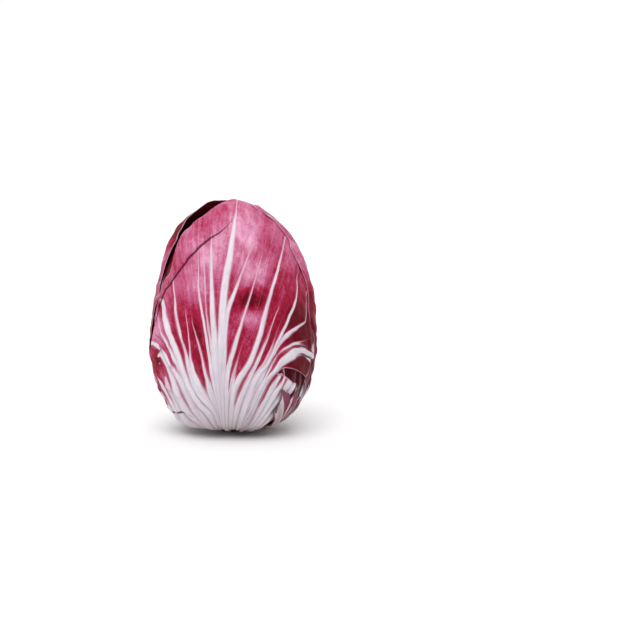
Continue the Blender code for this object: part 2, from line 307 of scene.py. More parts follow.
# geometry nodes: ribs and blisters on a leaf, raised away from the middle of the head
def reliefTree():
    make, given = startTree("leafRelief", "Leaf", dict(
        ribScale="Float", blisterHeight="Float", blisterSize="Float", blisterSeed="Float", middle="Vector"))
    place = make.add("GeometryNodeInputPosition")
    away = make.vectorMaths("NORMALIZE", make.vectorMaths("SUBTRACT", place, given["middle"]))
    share = make.ramp(make.stored("ridgeDist") / make.stored("ridgeHalf"), 0, 1, 1, 0)
    rib = make.stored("ridgeTall") * given["ribScale"] * share
    spots = make.add("ShaderNodeTexNoise", dict(noise_dimensions="4D"),
                     {"Vector": place, "W": given["blisterSeed"], "Scale": 1 / given["blisterSize"],
                      "Detail": 1.0, "Roughness": 0.4})
    blister = make.ramp(spots, 0.35, 0.7) * given["blisterHeight"] * make.stored("blisterShare")
    lift = make.add("ShaderNodeVectorMath", dict(operation="SCALE"),
                    {0: away, "Scale": make.stored("outside") * (rib + blister)})
    moved = make.add("GeometryNodeSetPosition", values={"Geometry": given["Leaf"], "Offset": lift})
    return endTree(make, "Leaf", moved, given["finish"])


# the leaves' finish, which reads the attributes that makeSheet gives its blades
def leafFinish(name, look):
    material, make = startMaterial(name)
    place = make.attribute("leafPlace", "Vector")  # millimetres across and along the leaf
    ribDist = make.attribute("ribDist")
    ribHalf = make.attribute("ribHalf")
    along = make.attribute("along")

    # white ribs with streaked sides, all white at the foot
    longWays = make.vectorMaths("MULTIPLY", make.attribute("ribPlace", "Vector"), (1, 0.09, 1))
    streaks = make.noise(longWays, 1.9, 3, 0.6) - 0.5
    fibres = make.noise(longWays, 0.55, 2, 0.6) - 0.5
    lowDown = make.ramp(along, 25, 85, 1, 0.3)
    distance = ribDist + streaks * look["streakWidth"] * lowDown + fibres * (0.15 + ribHalf * 0.3)
    present = make.ramp(ribHalf, 0.02, 0.12)
    white = make.ramp(distance, ribHalf * 1.2 + 0.05, ribHalf * 0.5) * present
    footEnd = along + streaks * look["footStreaks"]
    white = make.maths("MAXIMUM", white, make.ramp(footEnd, look["footEnd"], look["footEnd"] - 11))
    blush = make.ramp(distance, ribHalf * 1.45 + 0.35, ribHalf * 0.8) * present

    # a net of fine veins, drawn out along the leaf, in two sizes
    nets = []
    for size, width, stretch in ((look["netSize"], 0.045, 0.35), (look["netSize"] * 0.36, 0.08, 0.6)):
        netPlace = make.vectorMaths("MULTIPLY", place, (1, stretch, 1))
        net = make.add("ShaderNodeTexVoronoi", dict(feature="DISTANCE_TO_EDGE"),
                       {"Vector": netPlace, "Scale": 1 / size, "Randomness": 1.0})
        nets.append(make.ramp(net, width, 0.0))

    # the blade between the ribs: tone runs from deep maroon through crimson to dusty pink, the pink partly
    # the leaf's own bloom and partly painted sheen
    grain = make.noise(place, 0.8, 3, 0.7) - 0.5
    cloud = make.noise(place, 9, 3, 0.6) - 0.5
    brushed = make.noise(longWays, 3.2, 3, 0.65) - 0.5
    tone = make.attribute("tone") + cloud * 1.0 + brushed * 1.3 + grain * 0.8 + fibres * 0.6
    red = make.blend(make.ramp(tone, -0.6, 0.05), look["deep"], look["red"])
    red = make.blend(make.ramp(tone, 0.05, 0.5), red, look["rose"])
    red = make.blend(make.ramp(tone, 0.4, 1.35), red, look["bloomAndSheen"])
    veins = make.maths("MAXIMUM", nets[0] * 0.12, nets[1] * 0.06) * make.ramp(tone, -0.5, 0.4, 0.2, 1)
    red = make.blend(veins, red, look["vein"])

    pale = make.blend(make.ramp(streaks, -0.15, 0.25, 0, 0.65), look["rib"], look["ribPink"])
    # creamy and darker towards the stem: the rib foot's own cream, with painted shade near the floor
    pale = make.blend(make.ramp(along + cloud * 18, 44, 10), pale, look["foot"])
    pale = make.blend(make.ramp(ribHalf, 1.0, 0.25) * make.ramp(along, 40, 60) * 0.8, pale, look["vein"])
    colour = make.blend(blush * 0.5, red, look["blush"])
    colour = make.blend(white, colour, pale)
    # painted shade in the grooves between the ribs, strongest near the stem and gone higher up
    grooveShade = make.ramp(make.attribute("grooveShade") + streaks * 0.35, 0.62, 1.0)
    grooveShade = grooveShade * make.ramp(along, 75, 30) * 0.6
    colour = make.blend(grooveShade, colour, look["grooveShade"])
    # painted shade: the inner faces of the leaves are darkened, on top of their own dark red
    colour = make.blend(make.attribute("inside") * 0.9, colour, look["inside"])
    # pale margin line: a painted highlight along the thin edges of the wrapper and inner leaves; the torn
    # leaf's dark edge is its own colour
    rim = make.ramp(make.attribute("edge") + grain, 1.0, 0.4) * look["rimShare"]
    colour = make.blend(rim, colour, look["rim"])
    # painted shadow: a dark line along the crease of each fold
    creaseGap = make.maths("ABSOLUTE", make.attribute("creaseGap"))
    creaseShadow = make.attribute("creaseShade") * make.ramp(creaseGap + grain * 0.35, 1.0, 0.45)
    colour = make.blend(creaseShadow * 0.88, colour, look["creaseShadow"])

    height = grain * 0.35 + fibres * 0.7 * white + nets[0] * 0.3 + nets[1] * 0.15
    rough = make.ramp(grain, -0.3, 0.3, look["roughness"] - 0.06, look["roughness"] + 0.06)
    return endMaterial(material, make, colour, rough, make.bump(height, 0.8, 0.35 * mm), 0.03)


# of these colours, the dusty pink is partly painted sheen, the pale margin is a painted highlight, the dark
# creases and grooves are painted shade, and the dark inner faces and the cream foot are partly painted shade
wrapperLook = dict(
    deep=(0.12, 0.003, 0.010, 1), red=(0.33, 0.008, 0.040, 1), rose=(0.47, 0.08, 0.18, 1),
    bloomAndSheen=(0.76, 0.38, 0.55, 1), blush=(0.60, 0.22, 0.34, 1), vein=(0.66, 0.33, 0.45, 1),
    rib=(0.73, 0.69, 0.75, 1), ribPink=(0.63, 0.47, 0.56, 1), foot=(0.60, 0.52, 0.53, 1),
    rim=(0.58, 0.30, 0.40, 1), inside=(0.15, 0.008, 0.018, 1), creaseShadow=(0.07, 0.006, 0.014, 1),
    grooveShade=(0.30, 0.22, 0.25, 1), rimShare=0.8, roughness=0.42,
    streakWidth=3.2, netSize=4.5,  # millimetres
    footStreaks=34, footEnd=44,  # how far up the white foot reaches, in millimetres
)
# a darker copy of the wrapper colours: painted shade on the inner leaves and the heart, which lie deep in the
# head's gaps
shadedInnerLook = dict(
    wrapperLook, deep=(0.07, 0.002, 0.006, 1), red=(0.20, 0.006, 0.025, 1), rose=(0.26, 0.02, 0.06, 1),
    bloomAndSheen=(0.32, 0.05, 0.11, 1),
)
tornLook = dict(
    wrapperLook, red=(0.22, 0.05, 0.10, 1), rose=(0.26, 0.15, 0.13, 1), bloomAndSheen=(0.40, 0.30, 0.26, 1),
    rib=(0.62, 0.55, 0.58, 1), ribPink=(0.44, 0.27, 0.32, 1), foot=(0.52, 0.44, 0.42, 1),
    rim=(0.16, 0.08, 0.07, 1), rimShare=0.9, footEnd=12,
)
wrapperFinish = leafFinish("wrapperLeaf", wrapperLook)
shadedInnerFinish = leafFinish("shadedInnerLeaf", shadedInnerLook)
tornFinish = leafFinish("tornLeaf", tornLook)
print("finishes made")


# the ribs of a leaf, from the left margin to the right
def plainLines(ribs):  # ribs that keep their place in the fan, with a thin one between each two
    lines = []
    for number, (place, foot) in enumerate(ribs):
        half = ((0, foot), (0.3, foot), (0.5, foot * 0.5), (1, foot * 0.12))
        lines.append(dict(path=((0, place), (1, place)), half=half, tall=foot * 0.55))
        if number + 1 < len(ribs):
            between = (place + ribs[number + 1][0]) / 2
            half = ((0, foot * 0.8), (0.3, foot * 0.7), (0.5, 0.35), (0.8, 0.1))
            lines.append(dict(path=((0, between), (1, between)), half=half, tall=0.5))
    return lines


def drawnLines(ribs):
    return [dict(path=path, half=half, tall=tall) for tall, path, half in ribs]


# each rib's place in the fan, and the half width of its pale band at the foot in millimetres
plainRibs = ((-0.84, 2.2), (-0.62, 2.6), (-0.4, 2.9), (-0.19, 2.4), (0.0, 3.8), (0.19, 2.4), (0.4, 2.9),
             (0.62, 2.6), (0.84, 2.2))
tornRibs = ((-0.92, 3.2), (-0.75, 2.8), (-0.05, 0.6), (0.5, 0.8))
# each rib: its rise, then (run, fan) points of its path, then (run, half width) points of its pale band;
# rise and half width are millimetres
frontRibs = (
    (0.9, ((0, -0.97), (0.5, -0.95), (1.05, -0.98)),
     ((0, 3.4), (0.4, 3.2), (0.55, 1.6), (0.7, 0.5), (0.9, 0.3))),
    (1.3, ((0, -0.92), (0.3, -0.84), (0.5, -0.84), (0.7, -0.86), (1.05, -0.93)),
     ((0, 3.4), (0.45, 3.0), (0.58, 2.2), (0.68, 1.2), (0.78, 0.5), (0.88, 0))),
    (0.3, ((0, -0.9), (0.3, -0.78), (0.5, -0.76), (0.62, -0.76), (0.72, -0.75), (0.8, -0.8), (1.05, -0.94)),
     ((0, 1.5), (0.5, 1.8), (0.6, 1.5), (0.7, 0.8), (0.8, 0))),
    (0.9, ((0, -0.88), (0.3, -0.72), (0.5, -0.68), (0.62, -0.66), (0.73, -0.67), (0.79, -0.8), (0.84, -0.9),
           (1.05, -0.95)),
     ((0, 3.4), (0.5, 3.2), (0.62, 1.8), (0.75, 1.5), (0.82, 1.8), (0.88, 0.6))),
    (1.7, ((0, -0.84), (0.3, -0.6), (0.5, -0.555), (0.6, -0.59), (0.75, -0.645), (0.83, -0.715),
           (1.05, -0.9)),
     ((0, 3.2), (0.5, 3.4), (0.7, 2.6), (0.8, 1.7), (0.88, 1.2), (1, 0.9))),
    (0.3, ((0, -0.79), (0.3, -0.5), (0.5, -0.53), (0.7, -0.565), (0.8, -0.575), (0.95, -0.62)),
     ((0, 1.5), (0.6, 0.9), (0.8, 0.6), (1, 0.4))),
    (2.0, ((0, -0.74), (0.29, -0.39), (0.38, -0.465), (0.5, -0.505), (0.66, -0.5), (0.8, -0.51),
           (0.93, -0.5), (1.08, -0.56)),
     ((0, 3.2), (0.3, 2.9), (0.6, 2.9), (0.8, 2.5), (0.93, 2.1), (1.04, 0.7))),
    (1.0, ((0, -0.69), (0.3, -0.34), (0.45, -0.43), (0.65, -0.415), (0.76, -0.403), (0.9, -0.345),
           (1.1, -0.3)),
     ((0, 2.4), (0.45, 2.6), (0.56, 1.5), (0.65, 0.6), (0.76, 0.95), (0.9, 0.45))),
    (0.3, ((0, -0.65), (0.3, -0.3), (0.45, -0.385), (0.58, -0.4), (0.66, -0.355), (0.75, -0.322),
           (1, -0.26)),
     ((0, 1.8), (0.42, 2.2), (0.53, 1.2), (0.62, 0.6), (0.7, 0.2), (0.8, 0))),
    (1.0, ((0, -0.6), (0.3, -0.26), (0.44, -0.278), (0.6, -0.283), (0.7, -0.288), (0.8, -0.255), (1, -0.2)),
     ((0, 1.8), (0.38, 1.9), (0.48, 0.9), (0.58, 0.5), (0.66, 0.25), (0.76, 0))),
    (1.1, ((0, -0.56), (0.3, -0.235), (0.45, -0.215), (0.66, -0.203), (0.78, -0.195), (0.85, -0.165),
           (1, -0.12)),
     ((0, 1.9), (0.38, 1.9), (0.5, 1.2), (0.66, 0.9), (0.8, 0.6), (0.87, 0.3), (0.92, 0))),
    (0.2, ((0, -0.53), (0.3, -0.22), (0.5, -0.185), (0.7, -0.173), (0.85, -0.13), (1, -0.09)),
     ((0, 1.2), (0.45, 1.4), (0.58, 0.7), (0.7, 0.3), (0.83, 0.15), (0.88, 0))),
    (1.2, ((0, -0.5), (0.3, -0.205), (0.5, -0.155), (0.68, -0.133), (0.8, -0.106), (0.9, -0.08),
           (1, -0.06)),
     ((0, 1.9), (0.45, 2.3), (0.62, 1.9), (0.72, 1.5), (0.8, 1.0), (0.88, 0.5), (0.92, 0))),
    (2.4, ((0, -0.4), (0.3, -0.175), (0.52, -0.108), (0.6, -0.081), (0.74, -0.042), (0.84, 0.0),
           (0.92, 0.016)),
     ((0, 3.8), (0.4, 3.6), (0.55, 3.2), (0.68, 2.7), (0.78, 2.3), (0.83, 2.0), (0.89, 1.2), (0.93, 0.5),
      (1, 0.2))),
    (0.6, ((0, -0.36), (0.3, -0.14), (0.5, -0.075), (0.66, -0.022), (0.74, 0.028), (0.81, 0.067),
           (0.89, 0.097)),
     ((0, 1.5), (0.5, 1.6), (0.66, 1.2), (0.74, 0.8), (0.8, 0.35), (0.86, 0.1), (0.92, 0))),
    (1.3, ((0, -0.26), (0.3, -0.09), (0.44, -0.033), (0.52, 0.025), (0.62, 0.075), (0.74, 0.117),
           (0.86, 0.139)),
     ((0, 2.4), (0.4, 1.9), (0.52, 1.5), (0.62, 0.9), (0.72, 0.5), (0.8, 0.2), (0.88, 0))),
    (0.2, ((0, -0.22), (0.3, -0.04), (0.44, 0.042), (0.57, 0.106), (0.75, 0.175), (1, 0.18)),
     ((0, 1.4), (0.33, 1.3), (0.43, 0.4), (0.52, 0.1), (0.6, 0))),
    (2.0, ((0, -0.16), (0.33, 0.019), (0.42, 0.09), (0.48, 0.169), (0.54, 0.206), (0.66, 0.231),
           (0.85, 0.231), (1, 0.22)),
     ((0, 2.8), (0.4, 2.0), (0.54, 2.1), (0.66, 1.8), (0.76, 1.35), (0.88, 0.8), (1, 0.4))),
    (0.9, ((0, -0.02), (0.3, 0.12), (0.45, 0.222), (0.58, 0.283), (0.72, 0.303), (0.86, 0.311)),
     ((0, 1.8), (0.38, 1.6), (0.46, 1.2), (0.58, 0.7), (0.68, 0.3), (0.78, 0))),
    (0.3, ((0, 0.08), (0.3, 0.19), (0.46, 0.264), (0.54, 0.328), (0.72, 0.35), (0.9, 0.35)),
     ((0, 1.6), (0.38, 1.4), (0.46, 0.6), (0.55, 0.2), (0.65, 0))),
    (1.6, ((0, 0.17), (0.3, 0.23), (0.46, 0.288), (0.53, 0.358), (0.62, 0.383), (0.83, 0.406),
           (0.96, 0.35)),
     ((0, 2.4), (0.45, 2.3), (0.6, 2.3), (0.68, 1.5), (0.78, 1.0), (0.93, 0.6))),
    (0.6, ((0, 0.23), (0.3, 0.265), (0.5, 0.36), (0.62, 0.398), (0.68, 0.428), (0.77, 0.506), (0.88, 0.567),
           (1, 0.5)),
     ((0, 1.2), (0.6, 1.4), (0.68, 1.6), (0.74, 1.1), (0.85, 0.6), (1, 0.4))),
    (0.2, ((0, 0.27), (0.3, 0.29), (0.5, 0.385), (0.6, 0.43), (0.68, 0.52), (0.76, 0.64), (0.88, 0.75),
           (1, 0.75)),
     ((0, 1.0), (0.45, 0.8), (0.55, 0.2), (0.6, 0))),
    (2.6, ((0, 0.32), (0.3, 0.34), (0.47, 0.395), (0.52, 0.455), (0.57, 0.49), (0.62, 0.535), (0.67, 0.6),
           (0.7, 0.72), (0.73, 0.92), (0.76, 1.02), (1, 1.08)),
     ((0, 4.0), (0.3, 4.6), (0.47, 4.2), (0.55, 4.4), (0.61, 5.5), (0.7, 8.0), (0.8, 5), (1, 2))),
)
frontLeft = ((0, -1.0), (0.3, -1.0), (0.6, -1.04), (1.1, -1.08))
frontRight = ((0, 0.42), (0.3, 0.42), (0.47, 0.45), (0.52, 0.5), (0.555, 0.58), (0.575, 0.72), (0.59, 0.88),
              (0.62, 1.06), (0.75, 1.12), (1, 1.12))
# height: how far the leaf steps up at a fold, fade: how far beside it the step dies out, wide: its line,
# in millimetres; cut: share of the ribs that ends there, shade: how dark its line is
frontFolds = (
    dict(path=((1.02, -0.72), (0.98, -0.56), (0.95, -0.45), (0.91, -0.35), (0.89, -0.26), (0.885, -0.17),
               (0.885, -0.11), (0.89, -0.05), (0.9, -0.02), (0.93, 0.03)),
         height=1.3, fade=12, cut=1.0, shade=1.0, wide=0.65),
    dict(path=((0.9, -0.69), (0.78, -0.594), (0.7, -0.564)), height=1.2, fade=6, shade=0.5, wide=0.5),
    dict(path=((0.52, -1.05), (0.49, -1.0), (0.465, -0.94), (0.44, -0.85), (0.41, -0.75), (0.37, -0.69),
               (0.34, -0.67)),
         height=1.1, fade=9, shade=1.0, wide=0.8),
    dict(path=((0.8, -0.67), (0.77, -0.645), (0.73, -0.636), (0.69, -0.632), (0.65, -0.618), (0.61, -0.58)),
         height=1.3, fade=4, shade=1.0, wide=0.85),
    dict(path=((0.75, -0.62), (0.765, -0.7), (0.74, -0.79), (0.705, -0.87), (0.66, -0.93), (0.62, -0.97),
               (0.56, -1.0)),
         height=1.0, fade=3, shade=1.0, wide=1.0),
    dict(path=((0.58, -0.82), (0.55, -0.77), (0.52, -0.73), (0.49, -0.69), (0.46, -0.65)),
         height=0.9, fade=4, shade=0.3, wide=0.5),
    dict(path=((0.64, 0.6), (0.67, 0.66), (0.69, 0.78), (0.74, 1.03)),
         height=1.2, fade=6, shade=1.0, wide=0.7),
)
# places and sizes from here on are millimetres across and up, seen from the front
# tone: -1 deep maroon, 0 crimson, 0.5 rose, 1 dusty pink, which is partly the leaf's own bloom and partly
# painted sheen
frontPatches = [dict(at=(x, z), size=(wide, high), tone=tone) for x, z, wide, high, tone in (
    (10, 121, 10, 8, 0.5), (-10, 107, 8, 9, 0.45), (14, 99, 9, 8, 0.45), (-24, 90, 9, 6, 0.25),
    (-12, 127, 8, 6, -0.2), (22, 118, 9, 10, -0.3), (-16, 92, 7, 7, 0.3), (-9, 88, 2.5, 8, -0.4),
    (1, 96, 3, 4, -0.4), (32, 94, 9, 10, -0.35), (12, 83, 10, 6.5, -1.05), (3, 76, 4, 5, -0.3),
    (13, 74.5, 8, 5.5, 0.85), (34, 73, 9, 12, -0.2), (42, 64, 10, 18, -0.85), (42, 38, 8, 9, -0.9),
    (-21, 66, 5, 14, -0.2), (-44, 63, 7, 9, 0.9), (-43, 45, 2.5, 7, -0.5), (-42, 26, 3, 6, -0.4),
    (-38, 36, 5, 10, 0.35), (-32, 110, 9, 12, -0.1),
)]
lobeRibs = (
    (1.4, ((0, 0.5), (0.3, 0.48), (0.55, 0.54)), ((0, 2.6), (0.42, 2.6), (0.5, 1.2), (0.55, 0.5))),
    (1.5, ((0, 0.6), (0.3, 0.56), (0.55, 0.62)), ((0, 2.8), (0.38, 2.8), (0.46, 1.2), (0.55, 0.7))),
    (1.0, ((0, 0.74), (0.3, 0.63), (0.42, 0.69), (0.55, 0.74)), ((0, 3.2), (0.55, 4.2))),
    (1.0, ((0, 0.86), (0.3, 0.75), (0.42, 0.79), (0.55, 0.83)),
     ((0, 3.2), (0.3, 2.8), (0.42, 1.8), (0.55, 1.4))),
)
lobeLeft = ((0, 0.38), (0.3, 0.38), (0.47, 0.42), (0.55, 0.5))
lobeRight = ((0, 1.0), (0.2, 0.95), (0.36, 0.92), (0.45, 1.03), (0.55, 1.06))

# facing, base, neck, tip, left, right and low: degrees that lay the blade on the egg; flare and waves: how
# far its margin stands off and how often it waves; rows and step: how fine its mesh is
# patches: spots of another tone, bare: where ribs fade out, gapes: where the margin lifts off
crownLeaf = dict(
    node="leaf_crown", facing=-6, base=43, neck=40, tip=204, left=62, lowLeft=46, right=62, lowRight=46,
    flare=0.3, waves=5, seed=1.0, rows=100, step=1.5, lines=plainLines(plainRibs), finish=shadedInnerFinish,
)
innerBackLeaf = dict(
    crownLeaf, node="leaf_inner_back", facing=160, tip=196, left=70, lowLeft=42, right=70, lowRight=42,
    flare=0.4, waves=6, seed=2.0,
)
innerLeftLeaf = dict(
    crownLeaf, node="leaf_inner_left", facing=-82, tip=176, left=66, lowLeft=42, right=64, lowRight=42,
    flare=0.6, waves=7, seed=3.0, rows=124, step=1.15, finish=wrapperFinish,
    # painted shade: a dark maroon spot without ribs, where this leaf lies in shadow under the front leaf's
    # upper left margin
    patches=(dict(at=(-30, 112), size=(30, 30), tone=-2),),
    bare=(dict(at=(-28, 114), size=(24, 28)),),
    gapes=(dict(at=(-33, 108), size=(9, 24), lift=2.0, within=80),
           dict(at=(-34, 7), size=(10, 9), lift=4.5, within=200)),
)
innerRightLeaf = dict(
    innerLeftLeaf, node="leaf_inner_right", facing=70, tip=178, left=60, right=68, waves=6, seed=4.0,
    finish=shadedInnerFinish, gapes=(),
    # painted shade: a dark maroon spot without ribs in the hollow under the front leaf's lower right
    patches=(dict(at=(42, 36), size=(14, 22), tone=-1.2),),
    bare=(dict(at=(42, 36), size=(12, 20)),),
)
frontLeaf = dict(
    node="leaf_front", facing=1, base=40, neck=52, tip=181, left=74, lowLeft=30, right=82, lowRight=46,
    flare=0.4, waves=8, seed=5.0, rows=170, step=1.05, lines=drawnLines(frontRibs), finish=wrapperFinish,
    leftMargin=frontLeft, rightMargin=frontRight, folds=frontFolds, patches=frontPatches,
    notches=((-0.28, 0.22, 0.045), (-0.8, 0.3, -0.05), (0.6, 0.35, -0.08)),  # place, width and depth
    bare=(dict(at=(-43, 45), size=(2.8, 7)), dict(at=(-39.5, 40), size=(2.6, 5)),
          dict(at=(-42.5, 26), size=(2.2, 5)), dict(at=(-38, 21.5), size=(2.5, 2.2))),
    gapes=(dict(at=(-48, 40), size=(12, 30), lift=1.8, within=80),
           dict(at=(1, 142), size=(4, 5), lift=1.4)),
)
frontLobe = dict(
    frontLeaf, flare=0.3, waves=2, seed=5.4, rows=80, step=0.8, lines=drawnLines(lobeRibs),
    leftMargin=lobeLeft, rightMargin=lobeRight, torn=0.535, notches=((1.06, 0.2, 0.06),), bare=(),
    folds=(dict(path=((0.1, 0.95), (0.2, 0.72), (0.31, 0.647), (0.38, 0.675), (0.42, 0.714), (0.46, 0.76)),
                height=0.9, fade=5, shade=0.6, wide=0.45),),
)
outerRightLeaf = dict(
    node="leaf_outer_right", facing=124, base=43, neck=42, tip=172, left=46, lowLeft=50, right=70,
    lowRight=40, flare=0.2, press=1.0, waves=7, seed=6.0, rows=140, step=1.05,
    lines=plainLines(plainRibs), finish=wrapperFinish,
    patches=(dict(at=(44, 32), size=(12, 20), tone=-0.9), dict(at=(48, 70), size=(10, 25), tone=-0.5)),
    bare=(dict(at=(45, 60), size=(16, 70)),),
)
outerLeftLeaf = dict(
    outerRightLeaf, node="leaf_outer_left", facing=-130, tip=173, left=78, lowLeft=40, right=52,
    lowRight=50, flare=0.3, press=0.0, waves=6, seed=7.0,
    rightMargin=((0, 1.0), (0.25, 0.8), (0.5, 0.64), (0.8, 0.57), (1, 0.7)),
    # painted shade: a dark maroon spot without ribs at the top left, where the leaf lies in shadow
    patches=(dict(at=(-24, 126), size=(18, 16), tone=-2),),
    bare=(dict(at=(-26, 122), size=(24, 26)),),
    gapes=(dict(at=(-32, 110), size=(12, 18), lift=-0.8), dict(at=(-14, 136), size=(6, 6), lift=1.6),
           dict(at=(-48, 42), size=(12, 32), lift=2.2, within=80)),
)
tornLeaf = dict(
    node="torn_leaf_base", facing=62, base=17, neck=40, tip=176, left=52, lowLeft=66, right=34,
    lowRight=50, clearance=0.9, flare=0.6, waves=5, seed=8.0, rows=64, step=0.8,
    lines=plainLines(tornRibs), finish=tornFinish, torn=0.36, frayed=True, notches=((-0.7, 0.35, -0.09),),
    patches=(dict(at=(33, 18), size=(5, 10), tone=-0.3), dict(at=(37, 8), size=(9, 6), tone=0.8)),
)


noCrease = 9.0  # line widths from the nearest crease, where there is none

# the blade of every leaf, in millimetres
blade = dict(
    clearance=0.3,  # from what is under it
    floorGap=0.9,
    hugFoot=96, hugTop=112,  # its margins lie close up to the first height, and are free from the second on
    foot=1.5, thin=0.6, thinFrom=40,  # thickness at the stem, and from that far along on
    rimShare=0.45, rimWide=2.5,  # share of the thickness at the margin, and how far in it gets thinner
    rimBulge=0.16,
    curl=12,  # how far in from the margin it stands off
    mainRib=0.9,  # least rise of a rib that is raised as a ridge
    ribScale=1.35, blisterHeight=0.7, blisterSize=7,
    # the blade turns paler towards the top: partly its own bloom and partly painted sheen
    paleFrom=62, paleTo=112,  # heights between which the blade turns from crimson to rose
)


def bladeReach(leaf, fan):  # share of its full length that the blade has at this place in the fan
    share = leaf.get("torn", 1) + 0.02 * np.sin(leaf["waves"] * 3.1 * fan + leaf["facing"])
    for place, width, depth in leaf.get("notches", ()):
        share = share - depth * np.exp(-(((fan - place) / width) ** 2))
    for number in range(1, 6):  # small ripples
        share = share + 0.004 / number * np.sin(fan * 23 * number + leaf["seed"] * 7 * number)
    if leaf.get("frayed"):
        share = share + 0.009 * np.sin(fan * 37 + leaf["seed"]) + 0.004 * np.sin(fan * 89)
    return share


def leafColumns(leaf):
    # each grid column lies between two lines, so that every rib has a column of its own
    margins = [dict(path=leaf.get(key, ((0, place), (1, place))), half=((0, 0.3), (1, 0.1)), tall=0.0)
               for key, place in (("leftMargin", -1.0), ("rightMargin", 1.0))]
    lines = [margins[0], *leaf["lines"], margins[1]]
    rowShare = np.linspace(0, 1, leaf["rows"] + 1)
    places, ribColumns = [0.0], [0]
    for number, pair in enumerate(zip(lines, lines[1:])):
        ways = [fanWays(leaf, pathAt(line["path"], rowShare), rowShare) for line in pair]
        gap = np.linalg.norm(ways[0] - ways[1], axis=-1).max() * head["radius"] * 1.1 / mm
        parts = max(4, int(math.ceil(gap / leaf["step"] / 2)) * 2)
        places += [number + part / parts for part in range(1, parts + 1)]
        ribColumns.append(len(places) - 1)
    return lines, rowShare, np.array(places), ribColumns


def leafGrid(leaf, lines, rowShare, places):
    # run, fan, half width and rise of the nearest ribs at every place of the grid
    before = np.minimum(places.astype(int), len(lines) - 2)
    share = places - before
    tips = np.array([pathAt(line["path"], 1.0) for line in lines], float)
    reach = bladeReach(leaf, mix(tips[before], tips[before + 1], share))
    run = rowShare[:, None] * reach[None, :]
    fan, half, tall = np.zeros((3, *run.shape))
    for number in range(len(lines) - 1):
        columns = np.where(before == number)[0]
        part = share[columns][None, :]
        runs = run[:, columns]
        for line, weight in ((lines[number], 1 - part), (lines[number + 1], part)):
            fan[:, columns] += weight * pathAt(line["path"], runs)
            half[:, columns] += weight * pathAt(line["half"], runs)
            tall[:, columns] += weight * line["tall"] * (1 - smoothStep(0.05, 1.0, runs)) ** 0.8
    return run, fan, half, tall


def spread(grid):  # average of each place's neighbours
    padded = np.pad(grid, 1, mode="edge")
    return (padded[:-2, 1:-1] + padded[2:, 1:-1] + padded[1:-1, :-2] + padded[1:-1, 2:]) / 4


def relaxed(height, rounds, lowest=-1.0):  # smoothed, but never below the lowest
    for _ in range(rounds):
        height = np.maximum((height + spread(height)) / 2, lowest)
    return height


def solidHeights(node, ways, egg):  # how far the solid's own inner face stands from the egg, smoothed
    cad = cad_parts[node].data
    tree = BVHTree.FromPolygons([v.co for v in cad.vertices], [p.vertices for p in cad.polygons])
    centre = Vector(middle)
    start = np.full(egg.shape, np.nan)
    for row, column in np.ndindex(egg.shape):
        distance = tree.ray_cast(centre, Vector(ways[row, column]), head["far"])[3]
        if distance is not None:
            start[row, column] = distance - egg[row, column]
    known = ~np.isnan(start)
    filled = np.where(known, start, np.nanmean(start))
    for _ in range(80):  # into the places that the solid doesn't cover
        filled = np.where(known, start, spread(filled))
    return relaxed(filled, 70)


def marginShare(run, across):  # 1 at the margins, where a leaf lies close on what is under it
    top = smoothStep(0.16, 0.03, run[-1] - run)
    side = smoothStep(0.12, 0.02, np.minimum(across, 1 - across))[None, :] * np.ones_like(run)
    return np.maximum(top, side) * smoothStep(0.1, 0.3, run)


def gridDistances(surface):  # millimetres along and across a leaf, and how squarely its lines cross
    alongStep = np.linalg.norm(np.diff(surface, axis=0), axis=-1)
    along = np.concatenate([np.zeros((1, surface.shape[1])), np.cumsum(alongStep, 0)]) / mm
    acrossStep = np.linalg.norm(np.diff(surface, axis=1), axis=-1)
    across = np.concatenate([np.zeros((surface.shape[0], 1)), np.cumsum(acrossStep, 1)], axis=1) / mm
    down = np.gradient(surface, axis=0)
    aside = np.gradient(surface, axis=1)
    slant = np.linalg.norm(np.cross(down, aside), axis=-1)
    slant = slant / np.maximum(np.linalg.norm(down, axis=-1) * np.linalg.norm(aside, axis=-1), 1e-12)
    return along, across, np.maximum(slant, 0.25)


def ribFields(lines, ribColumns, across, slant, half, tall):
    # ridges run only along the main ribs, and meet in grooves half way between them
    far = {column: np.abs(across - across[:, column, None]) * slant[:, column, None] for column in ribColumns}
    main = [column for column, line in zip(ribColumns, lines) if line["tall"] >= blade["mainRib"]]
    ridgeDist = np.full(across.shape, 1e3)
    ridgeTall = np.zeros_like(across)
    ridgeWide = np.ones_like(across)
    for column in main:
        nearer = far[column] < ridgeDist
        ridgeDist = np.where(nearer, far[column], ridgeDist)
        ridgeTall = np.where(nearer, tall[:, column, None], ridgeTall)
        ridgeWide = np.where(nearer, half[:, column, None], ridgeWide)
    ridgeGap = np.zeros_like(across)
    for first, last in zip([0, *main], [*main, across.shape[1] - 1]):
        wide = (across[:, last] - across[:, first]) * (slant[:, first] + slant[:, last]) / 4
        ridgeGap[:, first : last + 1] = wide[:, None]
    return dict(
        ribDist=np.minimum.reduce([far[column] for column in ribColumns[1:-1]]),
        ridgeDist=ridgeDist,
        ridgeTall=np.minimum(ridgeTall, 0.42 * ridgeGap) * mm,
        ridgeHalf=np.minimum(ridgeWide * 1.6 + 0.3, ridgeGap + 0.2),
        grooveShade=ridgeDist / np.maximum(ridgeGap, 0.1),
    )


def spotDistance(spot, x, z):  # 1 on the edge of an oval spot
    return ((x - spot["at"][0]) / spot["size"][0]) ** 2 + ((z - spot["at"][1]) / spot["size"][1]) ** 2


def frontShare(y):  # spots are placed as seen from the front, and don't go through to the back
    return smoothStep(9, -6, y)


